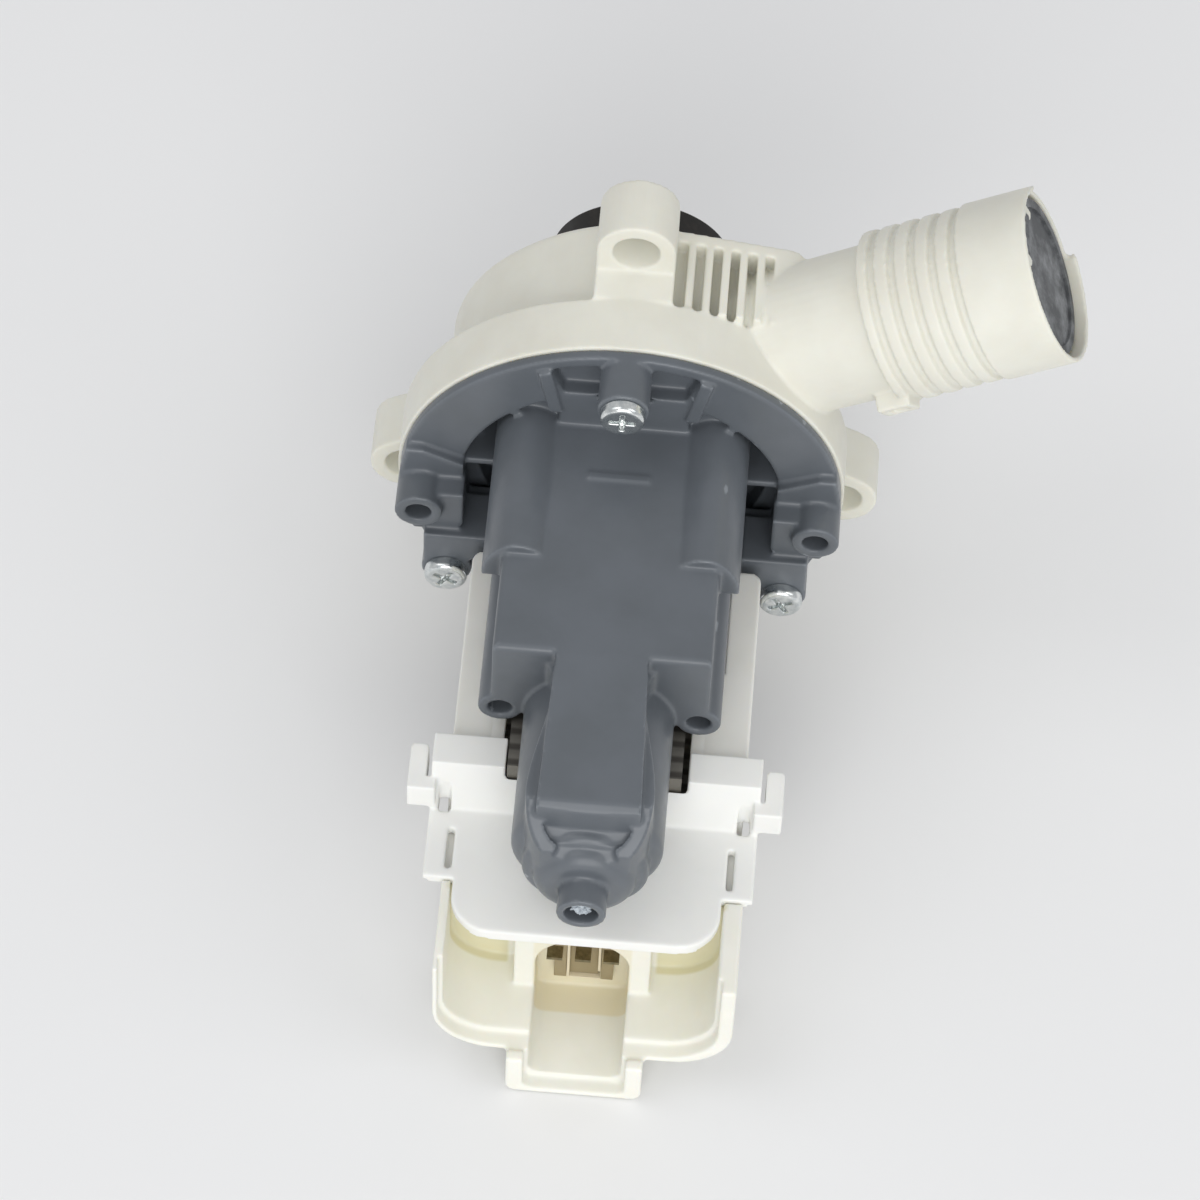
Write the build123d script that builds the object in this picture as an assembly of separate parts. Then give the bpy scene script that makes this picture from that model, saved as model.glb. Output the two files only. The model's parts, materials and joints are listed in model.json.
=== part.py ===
from build123d import *
import os
from math import cos, radians, sin, sqrt

os.makedirs("parts", exist_ok=True)

# Washer drain pump, in millimetres.
# X runs towards the outlet side, Y along the pump axis towards the inlet, and Z is up.
# The origin is on the pump axis, in the plane of the front faces of the three mounting bosses.
# Most stations are distances behind the flange, the rear face of the motor housing's round plate.

# Clearances
seat_gap = 0.3          # between pieces that are seated beside each other
run_gap = 0.05          # radial clearance of a shaft or pin that turns in its hole
slip_gap = 0.1          # radial clearance of a piece that is slipped into a bore
overrun = 1.0           # how far a cut runs past the face it opens

# Motor housing: flange and plug
mount_to_flange = 29.0  # from the mounting plane back to the flange's rear face
flange_r = 39.5
flange_edge_t = 2.0     # the grey edge that shows beside the volute's rim
web_step = 1.9          # the thicker web stops this far inside the edge
web_t = 4.5
void_r = 28.7           # round opening inside the web
plug_wall = 1.7
plug_depth = 12.6       # how far the plug reaches ahead of the flange's rear face
plug_front_t = 2.2
void_depth = 6.0        # the open ring reaches this far ahead of the flange's rear face
void_step = 2.6         # and is narrower by this much beyond that depth
lower_web_z = 8.5       # the web is closed below this depth under the axis
brace_out_x = 19.2      # upper web: corner on the round opening
brace_in_x = 15.4       # upper web: corner beside the cheek
brace_in_z = 16.2
pocket_top_r = 37.0     # shallow pockets at the top of the web
pocket_low_z = 28.4
pocket_depth = 3.0
pocket_half = 13.9
pocket_lean = 3.2       # how much narrower the pockets are at their lower edge
top_rib_t = 2.4
top_rib_low_z = 23.5
top_rib_rise = 1.0      # how far the two upper ribs stand behind the web
tab_rib_t = 1.6
brace_depth = 2.0       # the upper web is set back this far beside the tabs
band_half = 11.5        # level band above the hood
band_top_z = 27.4

# Motor housing: canister, its rear cap and tail
can_r = 13.1
can_wall = 1.6
can_len = 76.5
can_round = 2.4
end_step_r = 10.9       # second, narrower step behind the canister's shoulder
end_step_len = 3.4
cap_r = 8.9
cap_len = 6.6
cap_round = 3.0
tail_r = 4.25
tail_len = 5.0
tail_bore_r = 2.9
tail_bore_depth = 4.0

# Motor housing: hood over the canister, with its cheeks and screw columns
hood_half = 18.9
hood_top = 19.3
hood_len = 47.9
hood_wall = 2.0
hood_round = 1.2
cheek_half = 22.5
cheek_inner = 11.7
cheek_peak_x = 17.0
cheek_peak = 21.2
cheek_rise_x = 14.2
cheek_rise = 20.8
cheek_turn_x = 20.2
cheek_turn = 19.0
cheek_side_x = 22.0
cheek_side = 15.6
cheek_shoulder = 13.0
cheek_low = 11.8        # height of the cheeks' lower edge above the axis
cheek_len = 28.3
column_x = 17.3
column_r = 3.9
column_hole_r = 2.1
column_hole_depth = 12.0
mark_half = 5.3         # small raised moulding mark on the hood
mark_w = 1.3
mark_rise = 0.3
mark_back = 10.0

# Motor housing: crown and fences on the canister
crown_half = 7.9
crown_end_half = 8.9
crown_short = 5.6       # the crown ends this far ahead of the cap's rear face
crown_bulge = 0.3       # how far the crown's rear end is rounded out
crown_drop = 1.6        # the crown falls this much towards its rear end
crown_round = 1.2
valley_floor = 13.6     # floor between crown and fences
fence_t = 2.4
fence_half = 11.3       # half the distance between the fences at the hood
fence_waist = 9.6       # and near the canister's rear end
fence_end_len = 8.1     # the fences start to close in this far ahead of the cap's rear face
fence_turn_half = 8.2
fence_turn_len = 3.9
fence_short = 1.4       # and end this far ahead of it
fence_top = 15.6
fence_end_half = 5.4    # the fences close in on the rear cap
fence_end_top = 9.4
valley_end_top = 7.6    # the valley falls to this height at the cap
neck_half = 6.4
neck_top = 9.8

# Motor housing: screw bosses, side platforms and arms
screw_circle_r = 35.0
screw_boss_r = 4.5
screw_boss_len = 8.0
pilot_hole_r = 1.7
side_boss_x = 35.4
side_boss_r = 4.25
side_boss_len = 8.3
side_hole_r = 2.3
platform_t = 2.0
platform_in_x = 28.0
platform_top_in = 6.4
platform_top_out = 10.0
platform_low = 14.0
lug_t = 6.2
lug_in_x = 27.6
lug_top = 3.0
lug_low = 7.4
arm_in_x = 22.6
arm_out_x = 34.5
arm_top = 7.2
arm_low = 18.4
arm_heel = 11.5         # the arm's lower edge beside the cheek
shelf_top = 6.0         # thin shelf across each side opening
shelf_t = 1.5

# Flange screws
head_r = 3.9
head_t = 2.3
head_round = 0.9
shank_r = 1.6
shank_len = 14.0
recess_half = 2.3
recess_w = 0.9
recess_depth = 1.3

# Volute housing
rim_r = 40.0
rim_front = 12.8        # ahead of the flange's rear face
rim_groove_out = 36.4
rim_groove_in = 33.2
chamber_front = 32.2
volute_wall = 2.2
spiral_start_r = 31.2
spiral_gain = 8.0       # how much the outer wall moves out over the swept turn
chamber_start_r = 29.0
chamber_gain = 4.9
spiral_end_r = 36.0     # outer wall at the end of its turn, under the fins
chamber_end_r = 34.0    # inner wall there
spiral_sweep = 285.0    # degrees from the cutwater round to the outlet side
spiral_growth = 4       # both walls move out with this power of the turn
front_round = 1.8
boss_circle_r = 46.0
boss_r = 6.95
boss_back = 18.0        # boss rear faces, ahead of the flange's rear face
boss_mouth_r = 4.25
boss_hole_r = 3.1
boss_mouth_depth = 5.0
boss_web_root = 33.0
boss_web_top = 41.2     # the web's rear slope starts at this radius
fin_zone_left = 7.0
fin_zone_right = 30.0
fin_zone_top = 38.9     # height at the boss
fin_zone_fall = 3.4     # how much lower the zone is at its right-hand end
fin_zone_front = 29.4
fin_zone_round = 3.0
fin_floor_r = 36.6
fin_first = 8.9         # right-hand side of the first slot
fin_pitch = 3.05
fin_slot_w = 1.6
fin_slot_front = 27.2
fin_slots = 6

# Inlet
inlet_r = 14.5
inlet_bore_r = 12.4
inlet_front = 51.4      # ahead of the flange's rear face
inlet_rib_r = 15.3
seal_r = 16.5
seal_front = 52.3
seal_back = 43.0
seal_lip_t = 1.6

# Outlet
outlet_rise = 26.54     # degrees above the XY plane
outlet_turn = 3.63      # degrees turned towards the inlet side
outlet_ahead = 16.0     # outlet axis, ahead of the flange's rear face
outlet_offset = 8.8     # outlet axis, beside the pump axis
neck_root = 20.0
neck_root_r = 13.2
neck_end_r = 13.6
neck_bore_r = 10.4
neck_round_len = 10.6   # the neck's bore is fully round over this length before the collar
collar_len = 31.5       # ribs and plain stretch, back from the mouth
collar_r = 15.5         # over the ribs
mouth_r = 15.8          # over the plain stretch at the mouth
outlet_len = 86.1
mouth_len = 13.0
groove_pitch = 3.79
groove_w = 1.4
groove_depth = 0.9
groove_count = 5
mouth_bore_r = 14.9
seat_bore_r = 12.6
seat_depth = 4.4        # flap seat, behind the mouth
step_depth = 1.7        # the mouth's rim is lower on its inlet side
step_ahead = 6.0        # from this far towards the inlet
step_half = 10.0
clamp_lug_lead = 4.4    # it starts this far before the collar
clamp_lug_w = 6.0
clamp_lug_h = 1.2
clamp_lug_t = 1.5
clamp_lug_len = 6.2
clamp_lug_turn = 118.0  # degrees about the outlet axis, from its upper side

# Outlet flap and its pin
flap_r = 14.0
flap_t = 1.6
flap_rim_t = 0.5
flap_rim_w = 1.6
pin_r = 0.9
pin_len = 13.6
knuckle_r = 1.8
knuckle_half = 3.9
pin_reach = 12.2        # from the outlet axis to the pin
ear_w = 1.8
ear_half = 1.7

# Body seal ring between plug and volute
ring_wire_r = 0.95
ring_station = 8.6
ring_groove_depth = 1.9

# Bearing holder, bearings, grommets, seal and washers
holder_flange_r = 14.6
holder_flange_t = 1.5
holder_len = 33.0
holder_bore_r = 7.4
seal_pocket_depth = 6.0
shaft_seal_r = 7.3
bearing_r = 4.6
bearing_len = 8.0
grommet_wall = 1.5
rear_bearing_len = 6.0
washer_r = 4.4
washer_t = 0.8

# Rotor
shaft_r = 2.5
shaft_front = 26.6      # ahead of the flange's rear face
magnet_r = 10.6
magnet_len = 25.0
magnet_short = 12.4     # the magnet ends this far ahead of the rear bearing
sleeve_r = 5.2
sleeve_play = 0.15      # end play of the rotor at each thrust washer

# Impeller and its lost-motion drive
impeller_r = 24.5
impeller_disc_t = 1.7
impeller_back = 15.2
impeller_front = 26.4
hub_r = 8.0
hub_cavity_r = 5.9
hub_front_t = 2.2
blade_t = 1.8
blade_count = 5
blade_lean = 3.2
dog_r = 3.6
dog_tooth_r = 5.6
dog_len = 6.0
tooth_angle = 56.0      # degrees of turn that each drive tooth takes
tooth_clear = 3.0
drive_turn = -149.0     # both teeth are turned so that the dog's tooth hangs down
balance_circle_r = 14.0 # small pad on the disc, opposite the impeller's tooth
balance_r = 1.6
balance_len = 3.2

# Stator core
stack_front = 39.7      # behind the flange
stack_len = 17.0
pole_gap = 0.3          # between canister and pole faces
leg_inner = 8.5
leg_outer = 17.5
core_foot = 49.0        # depth of the yoke's underside below the axis
yoke_t = 9.0
shoe_inner = 2.6
shoe_low = 20.0
horn_half = 15.2
horn_top = 4.4          # pole horns stop this far below the axis
leg_top = 13.4

# Bobbins and coils
bobbin_gap = 0.2
bobbin_wall = 1.0
bobbin_flange = 0.9
coil_t = 4.3
bobbin_top = 20.4
bobbin_low = 39.7
coil_round = 3.0

# Coil cover
base_z = 51.0           # depth of the resting face below the axis
cover_left = 25.3
cover_right = 26.5
cover_top = 8.0
cover_wall = 1.7
cover_front = 32.0
cover_back = 72.0
trough_half = 15.6
trough_low = 16.0
arm_w = 4.2
arm_front = 10.0
arm_depth = 14.0
stack_window = 18.2
base_round = 2.0

# Connector housing
socket_left = 24.9
socket_right = 27.6
inner_left = 23.3
inner_right = 24.2
socket_top = 16.0
socket_floor = 40.0
socket_wall = 2.0
socket_corner_r = 9.0
channel_half = 8.2
channel_wall = 3.8
channel_shift = 0.4
rim_back = 95.2         # rear edge of the channel
wide_back = 92.0        # rear edge of the wide part
lead_len = 3.0          # the mouth is wider over this length
lead_step = 0.8         # by this much all round
barrel_half = 12.0
barrel_back = 79.6
barrel_arch_top = 24.0
end_wall_t = 1.6

# Terminals
pin_w = 2.8
pin_t = 0.8
pin_back = 77.5
pin_pitch = 5.0
pin_depth = 34.0
pin_inner = 69.0
terminal_count = 3

# Terminal guard
guard_shift = 0.4
guard_half = 28.8
guard_wall = 1.5
guard_t = 2.0
guard_top = 6.0
guard_plate_top = 15.4
guard_front = 50.0
guard_flat_back = 56.2
guard_ramp_back = 59.8
guard_ramp_lead = 1.3   # the sheet's underside turns down this far ahead of its top
guard_plate_back = 83.8
guard_plate_half = 23.4
guard_corner_r = 7.0
guard_lip = 2.6
guard_inner = 15.9
guard_notch_back = 57.0
guard_can_gap = 0.9
guard_side_low = 19.0
guard_side_back = 73.6
guard_side_chamfer = 2.5
tab_t = 3.2
tab_gap = 0.8
tab_front = 50.6
tab_back = 60.0
tab_root = 2.6
tab_top = 9.0
tab_low = 15.0
window_w = 2.2          # small windows beside the side walls
window_len = 2.6
window_back = 59.0
slot_x = 24.5
slot_w = 1.2
slot_front = 63.5
slot_len = 8.2

# Thermal protector on the yoke side
protector_w = 12.0
protector_len = 4.0
protector_h = 5.0

# Derived places that several pieces share
flange_y = -mount_to_flange
web_r = flange_r - web_step
plug_r = void_r + plug_wall
can_bore_r = can_r - can_wall
can_end = can_len + cap_len
magnet_back = can_len - can_round - magnet_short
crown_back = can_end - crown_short
fence_back = can_end - fence_end_len
fence_turn_back = can_end - fence_turn_len
fence_end_back = can_end - fence_short
neck_back = can_end - cap_round
outlet_flat = cos(radians(outlet_rise))
outlet_axis = Vector(outlet_flat * cos(radians(outlet_turn)), outlet_flat * sin(radians(outlet_turn)),
                     sin(radians(outlet_rise)))
outlet_front = (Vector(0, 1, 0) - outlet_axis * outlet_axis.Y).normalized()
outlet_side = outlet_axis.cross(outlet_front)
outlet_root = outlet_side * outlet_offset + Vector(0, flange_y + outlet_ahead, 0)
collar_start = outlet_len - collar_len
mouth_start = outlet_len - mouth_len
neck_round_start = collar_start - neck_round_len
seat_station = outlet_len - seat_depth
pin_station = seat_station + seat_gap + knuckle_r
screw_angles = (90, 210, 330)


def behind(distance):
    """Y of a station this far behind the flange's rear face."""
    return flange_y - distance


def ahead(distance):
    """Y of a station this far ahead of the flange's rear face."""
    return flange_y + distance


def round_bar(radius, back, front, x=0, z=0):
    """Cylinder along Y between two stations."""
    middle = Pos(x, (back + front) / 2, z)
    return middle * Rot(90, 0, 0) * Cylinder(radius, front - back)


def tube(outer, inner, back, front, x=0, z=0):
    """Tube along Y between two stations."""
    hole = round_bar(inner, back - overrun, front + overrun, x, z)
    return round_bar(outer, back, front, x, z) - hole


def taper(back_radius, front_radius, back, front, x=0, z=0):
    """Cone along Y between two stations."""
    middle = Pos(x, (back + front) / 2, z)
    return middle * Rot(90, 0, 0) * Cone(front_radius, back_radius, front - back)


def brick(x_span, y_span, z_span):
    """Box between three pairs of limits."""
    size = [high - low for low, high in (x_span, y_span, z_span)]
    middle = [(high + low) / 2 for low, high in (x_span, y_span, z_span)]
    return Pos(*middle) * Box(*size)


def facing_plane(y):
    """Plane across the pump axis whose own axes are X and Z."""
    return Plane(origin=(0, y, 0), x_dir=(1, 0, 0), z_dir=(0, -1, 0))


def slab(sketch, back, front):
    """A sketch drawn in X and Z, given its thickness along Y."""
    return extrude(facing_plane(front) * sketch, amount=front - back)


def plan_slab(sketch, low, high):
    """A sketch drawn in X and Y, given its height along Z."""
    return extrude(Plane.XY.offset(low) * sketch, amount=high - low)


def side_slab(points, left, right):
    """An outline of Y and Z points, given its width along X."""
    side = Plane(origin=(left, 0, 0), x_dir=(0, 1, 0), z_dir=(1, 0, 0))
    return extrude(side * make_face(Polyline(*points, close=True)), amount=right - left)


def mirrored(solid):
    """A solid together with its mirror image across the YZ plane."""
    return solid + mirror(solid, about=Plane.YZ)


def on_circle(radius, angle):
    """X and Z of a point on a circle about the pump axis."""
    return radius * cos(radians(angle)), radius * sin(radians(angle))


def outlet_bar(radius, start, end, end_radius=None):
    """Round bar or cone along the outlet axis between two stations."""
    origin = outlet_root + outlet_axis * start
    plane = Plane(origin=tuple(origin), x_dir=tuple(outlet_front), z_dir=tuple(outlet_axis))
    if end_radius is None:
        return extrude(plane * Circle(radius), amount=end - start)
    far = plane.offset(end - start)
    return loft([plane * Circle(radius), far * Circle(end_radius)])


def outlet_point(along, ahead_of, aside):
    """Point given along the outlet axis, towards the inlet side, and across both."""
    return outlet_root + outlet_axis * along + outlet_side * aside + outlet_front * ahead_of


def outlet_brick(along_span, ahead_span, aside_span):
    """Box whose sides follow the outlet axis."""
    low = outlet_point(along_span[0], sum(ahead_span) / 2, sum(aside_span) / 2)
    plane = Plane(origin=tuple(low), x_dir=tuple(outlet_front), z_dir=tuple(outlet_axis))
    shape = Rectangle(ahead_span[1] - ahead_span[0], aside_span[1] - aside_span[0])
    return extrude(plane * shape, amount=along_span[1] - along_span[0])


def spiral_outline(start_r, gain, end_r):
    """Outline of the volute in X and Z, growing clockwise as seen from behind."""
    turns = [spiral_sweep * step / 12 for step in range(13)]
    radii = [start_r + gain * (turn / spiral_sweep) ** spiral_growth for turn in turns]
    radii[-1] = end_r
    points = [on_circle(radius, -turn) for radius, turn in zip(radii, turns)]
    return make_face(Spline(*points) + Line(points[-1], points[0]))


def cross_web(angle):
    """Boss and its radial web at one mounting angle, before its hole is cut."""
    x, z = on_circle(boss_circle_r, angle)
    boss = round_bar(boss_r, ahead(boss_back), 0, x, z)
    web = side_slab([(ahead(rim_front), boss_web_root), (ahead(rim_front), rim_r),
                     (ahead(boss_back), boss_web_top), (ahead(boss_back), boss_circle_r),
                     (0, boss_circle_r), (0, boss_web_root)], -boss_r, boss_r)
    return boss + Rot(0, 90 - angle, 0) * web


def cooling_fins():
    """Flat-topped zone beside the top boss, cut into thin fins by slots along Y."""
    outline = Polyline((fin_zone_left, fin_floor_r / 2), (fin_zone_left, fin_zone_top),
                       (fin_zone_right, fin_zone_top - fin_zone_fall), (fin_zone_right, fin_floor_r / 2),
                       close=True)
    zone = slab(make_face(outline), ahead(rim_front), ahead(fin_zone_front))
    zone = fillet(zone.edges().filter_by(Axis.Z).group_by(Axis.X)[-1].group_by(Axis.Y)[-1], fin_zone_round)
    floor = round_bar(fin_floor_r, ahead(0), ahead(chamber_front))
    for slot in range(fin_slots):
        right = fin_first + slot * fin_pitch
        left = right - fin_slot_w if slot else fin_zone_left
        cut = brick((left, right), (ahead(rim_front), ahead(fin_slot_front)),
                    (fin_floor_r / 2, fin_zone_top + overrun))
        zone -= cut - floor
    return zone


def clamp_lug():
    """Small open box that stops the hose clamp, on the first ribs of the collar."""
    low = neck_end_r - clamp_lug_t
    start = collar_start - clamp_lug_lead
    end = start + clamp_lug_len
    outer = outlet_brick((start, end), (-clamp_lug_w / 2, clamp_lug_w / 2), (low, collar_r + clamp_lug_h))
    inner = outlet_brick((start + clamp_lug_t, end - clamp_lug_t),
                         (clamp_lug_t - clamp_lug_w / 2, clamp_lug_w / 2 - clamp_lug_t),
                         (collar_r, collar_r + clamp_lug_h + overrun))
    line = Axis(tuple(outlet_root), tuple(outlet_axis))
    return (outer - inner).rotate(line, clamp_lug_turn)


def outlet_body():
    """Neck, ribbed hose collar and clamp stop, still solid."""
    body = outlet_bar(neck_root_r, neck_root, collar_start, neck_end_r)
    body += outlet_bar(collar_r, collar_start, outlet_len)
    body += outlet_bar(mouth_r, mouth_start, outlet_len)
    for groove in range(groove_count):
        station = mouth_start - groove_w - groove * groove_pitch
        band = outlet_bar(collar_r + overrun, station, station + groove_w)
        body -= band - outlet_bar(collar_r - groove_depth, station - overrun, station + groove_w + overrun)
    step = outlet_brick((outlet_len - step_depth, outlet_len + overrun), (step_ahead, mouth_r + overrun),
                        (-step_half, step_half))
    return body + clamp_lug() - step


def hinge_ears():
    """Two small ears inside the mouth that hold the flap's pin."""
    reach = (pin_reach - ear_half, mouth_bore_r + overrun / 2)
    along = (seat_station - overrun, pin_station + ear_half)
    ears = None
    for side in (-1, 1):
        near = side * (knuckle_half + seat_gap)
        far = near + side * ear_w
        ear = outlet_brick(along, (min(near, far), max(near, far)), reach)
        ears = ear if ears is None else ears + ear
    return ears & outlet_bar(mouth_bore_r + overrun / 2, along[0], along[1])


def flap_pin_bar(radius, length):
    """Round bar on the flap's hinge line."""
    start = outlet_point(pin_station, -length / 2, pin_reach)
    plane = Plane(origin=tuple(start), x_dir=tuple(outlet_side), z_dir=tuple(outlet_front))
    return extrude(plane * Circle(radius), amount=length)


def volute_housing():
    """The one moulding that holds the chamber, the inlet, the outlet and the mounting bosses."""
    shell = slab(spiral_outline(spiral_start_r, spiral_gain, spiral_end_r), ahead(rim_front),
                 ahead(chamber_front))
    shell = fillet(shell.edges().group_by(Axis.Y)[-1], front_round)
    shell += round_bar(rim_r, ahead(flange_edge_t), ahead(rim_front))
    for angle in screw_angles:
        shell += cross_web(angle)
    shell += cooling_fins()
    shell += outlet_body()
    shell += round_bar(inlet_r, ahead(chamber_front - front_round), ahead(inlet_front))
    shell += round_bar(inlet_rib_r, ahead(chamber_front), ahead(seal_back) - seat_gap)
    # chamber, plug seat and the grooves behind the rim
    shell -= slab(spiral_outline(chamber_start_r, chamber_gain, chamber_end_r), ahead(plug_depth),
                  ahead(chamber_front - volute_wall))
    shell -= round_bar(plug_r + slip_gap, ahead(0), ahead(plug_depth) + seat_gap)
    shell -= round_bar(web_r + seat_gap, ahead(0), ahead(web_t) + seat_gap)
    groove = tube(rim_groove_out, rim_groove_in, ahead(web_t), ahead(rim_front - volute_wall))
    for angle in screw_angles:
        x, z = on_circle(screw_circle_r, angle)
        groove -= round_bar(screw_boss_r, ahead(0), ahead(rim_front), x, z)
    shell -= groove
    # inlet and outlet bores
    shell -= round_bar(inlet_bore_r, ahead(plug_depth), ahead(inlet_front) + overrun)
    bore = outlet_bar(neck_bore_r, neck_root, collar_start)
    near_rim = brick((0, rim_r), (behind(0), ahead(rim_front) + volute_wall), (0, rim_r))
    shell -= bore - near_rim
    shell -= outlet_bar(neck_bore_r, neck_round_start, collar_start)
    shell -= outlet_bar(neck_bore_r, collar_start - overrun / 2, collar_start + groove_pitch, seat_bore_r)
    shell -= outlet_bar(seat_bore_r, collar_start + groove_pitch - overrun / 2, outlet_len)
    shell -= outlet_bar(mouth_bore_r, seat_station, outlet_len + overrun)
    shell += hinge_ears()
    shell -= flap_pin_bar(pin_r, pin_len)
    for angle in screw_angles:
        x, z = on_circle(boss_circle_r, angle)
        shell -= round_bar(boss_hole_r, ahead(rim_front), overrun, x, z)
        mouth_end = ahead(boss_back + boss_mouth_depth)
        shell -= taper(boss_mouth_r, boss_hole_r, ahead(boss_back), mouth_end, x, z)
        shell -= round_bar(boss_mouth_r, ahead(rim_front), ahead(boss_back), x, z)
        x, z = on_circle(screw_circle_r, angle)
        shell -= round_bar(shank_r, ahead(web_t), ahead(shank_len - screw_boss_len) + seat_gap, x, z)
    return shell


def cheek_outline():
    """Section of the right-hand cheek in X and Z."""
    low = cheek_low
    top = Spline((cheek_half, cheek_shoulder), (cheek_side_x, cheek_side), (cheek_turn_x, cheek_turn),
                 (cheek_peak_x, cheek_peak), (cheek_rise_x, cheek_rise), (cheek_inner, hood_top - run_gap))
    rest = Polyline((cheek_inner, hood_top - run_gap), (cheek_inner, low), (cheek_half, low),
                    (cheek_half, cheek_shoulder))
    return make_face(top + rest)


def flange_and_plug():
    """Round plate, the plug that enters the volute, and the open ring inside the web."""
    body = round_bar(flange_r, behind(0), ahead(flange_edge_t))
    body += round_bar(web_r, behind(0), ahead(web_t))
    body += round_bar(plug_r, behind(0), ahead(plug_depth))
    body -= round_bar(void_r, behind(overrun), ahead(void_depth))
    body -= round_bar(void_r - void_step, behind(overrun), ahead(plug_depth - plug_front_t))
    opening = round_bar(void_r + overrun, behind(0), ahead(web_t))
    brace_out_z = sqrt(void_r ** 2 - brace_out_x ** 2)
    upper = Polyline((-brace_in_x, brace_in_z), (-brace_out_x, brace_out_z), (-brace_out_x, void_r),
                     (brace_out_x, void_r), (brace_out_x, brace_out_z), (brace_in_x, brace_in_z), close=True)
    body += slab(make_face(upper), ahead(brace_depth), ahead(void_depth)) & opening
    band = brick((-band_half, band_half), (behind(0), ahead(void_depth)), (hood_top - overrun, band_top_z))
    body += band & opening
    line = Line((brace_in_x, brace_in_z), (brace_out_x, brace_out_z))
    tab = slab(trace(line, tab_rib_t), behind(0), ahead(void_depth))
    body += mirrored(tab & opening)
    body += brick((-void_r, void_r), (behind(0), ahead(web_t)), (-void_r, -lower_web_z)) & opening
    return body


def top_pockets():
    """The two shallow pockets at the top of the web, cut round the top screw boss."""
    outline = Polyline((-pocket_half + pocket_lean, pocket_low_z), (-pocket_half, pocket_top_r),
                       (pocket_half, pocket_top_r), (pocket_half - pocket_lean, pocket_low_z), close=True)
    cut = slab(make_face(outline), behind(overrun), ahead(pocket_depth))
    cut &= round_bar(pocket_top_r, behind(overrun), ahead(pocket_depth))
    return cut - round_bar(screw_boss_r, behind(overrun), ahead(pocket_depth), 0, screw_circle_r)


def top_rib():
    """Leaning rib beside the right-hand pocket."""
    low_x, high_x = pocket_half - pocket_lean, pocket_half
    outline = Polyline((low_x, top_rib_low_z), (low_x + top_rib_t, top_rib_low_z),
                       (high_x + top_rib_t, flange_r), (high_x, flange_r), close=True)
    rib = slab(make_face(outline), behind(top_rib_rise), ahead(pocket_depth))
    return rib & round_bar(web_r - run_gap, behind(top_rib_rise), ahead(pocket_depth))


def side_group():
    """Platform, lug, hollow boss, arm and shelf on the right-hand side of the flange."""
    outline = Polyline((platform_in_x, platform_top_in), (side_boss_x, platform_top_out),
                       (flange_r, platform_top_out), (flange_r, -platform_low),
                       (platform_in_x, -platform_low), close=True)
    group = slab(make_face(outline), behind(platform_t), ahead(web_t))
    lug = brick((lug_in_x, side_boss_x), (behind(lug_t), ahead(0)), (-lug_low, lug_top))
    group += fillet(lug.edges().filter_by(Axis.Y).group_by(Axis.Z)[0], platform_t)
    disc = round_bar(flange_r, behind(lug_t + overrun), ahead(flange_edge_t))
    group &= disc + round_bar(web_r, behind(0), ahead(web_t))
    group += round_bar(side_boss_r, behind(side_boss_len), ahead(0), side_boss_x, 0)
    x, z = on_circle(screw_circle_r, screw_angles[2])
    arm = Polyline((arm_in_x, -arm_top), (arm_out_x, -arm_top), (arm_out_x, -arm_low), (x, -arm_low),
                   (arm_in_x, -arm_heel), close=True)
    group += slab(make_face(arm), behind(screw_boss_len), ahead(flange_edge_t))
    group += round_bar(screw_boss_r, behind(screw_boss_len), ahead(flange_edge_t), x, z)
    group += brick((hood_half - overrun, void_r + plug_wall / 2),
                   (behind(0), ahead(plug_depth - plug_front_t)), (shelf_top - shelf_t, shelf_top))
    return group


def hood():
    """The box over the canister, with cheeks and screw columns, hollow and open below."""
    box = brick((-hood_half, hood_half), (behind(hood_len), ahead(plug_depth - plug_front_t)), (0, hood_top))
    top = box.edges().group_by(Axis.Z)[-1]
    box = fillet(top.filter_by(Axis.Y) + top.filter_by(Axis.X).group_by(Axis.Y)[:1][0], hood_round)
    box += mirrored(slab(cheek_outline(), behind(cheek_len), ahead(plug_depth - plug_front_t)))
    box += mirrored(round_bar(column_r, behind(hood_len), ahead(plug_depth - plug_front_t), column_x, 0))
    box += brick((-mark_half, mark_half), (behind(mark_back + mark_w), behind(mark_back)),
                 (hood_top - overrun, hood_top + mark_rise))
    inside = brick((hood_wall - hood_half, hood_half - hood_wall),
                   (behind(hood_len - hood_wall), ahead(0)), (-column_r - overrun, hood_top - hood_wall))
    inside -= round_bar(can_r, behind(hood_len), ahead(plug_depth))
    inside -= mirrored(round_bar(column_r, behind(hood_len), ahead(plug_depth), column_x, 0))
    return box - inside


def fence_line(front):
    """Middle line of the right-hand fence, from the hood to the rear cap."""
    return Spline((fence_half, front), (fence_waist, behind(fence_back)),
                  (fence_turn_half, behind(fence_turn_back)), (fence_end_half, behind(fence_end_back)))


def fence(front):
    """Right-hand fence and the valley floor beside it, both falling towards the cap."""
    wall = plan_slab(trace(fence_line(front), fence_t), 0, fence_top)
    wall &= side_slab([(front, 0), (front, fence_top), (behind(fence_back), fence_top),
                       (behind(fence_end_back), fence_end_top), (behind(fence_end_back), 0)], 0, hood_half)
    inner = Polyline((fence_end_half, behind(fence_end_back)), (0, behind(fence_end_back)), (0, front),
                     (fence_half, front))
    floor = plan_slab(make_face(fence_line(front) + inner), 0, valley_floor)
    floor &= side_slab([(front, 0), (front, valley_floor), (behind(fence_back), valley_floor),
                        (behind(fence_end_back), valley_end_top), (behind(fence_end_back), 0)], 0, hood_half)
    return wall + floor


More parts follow.
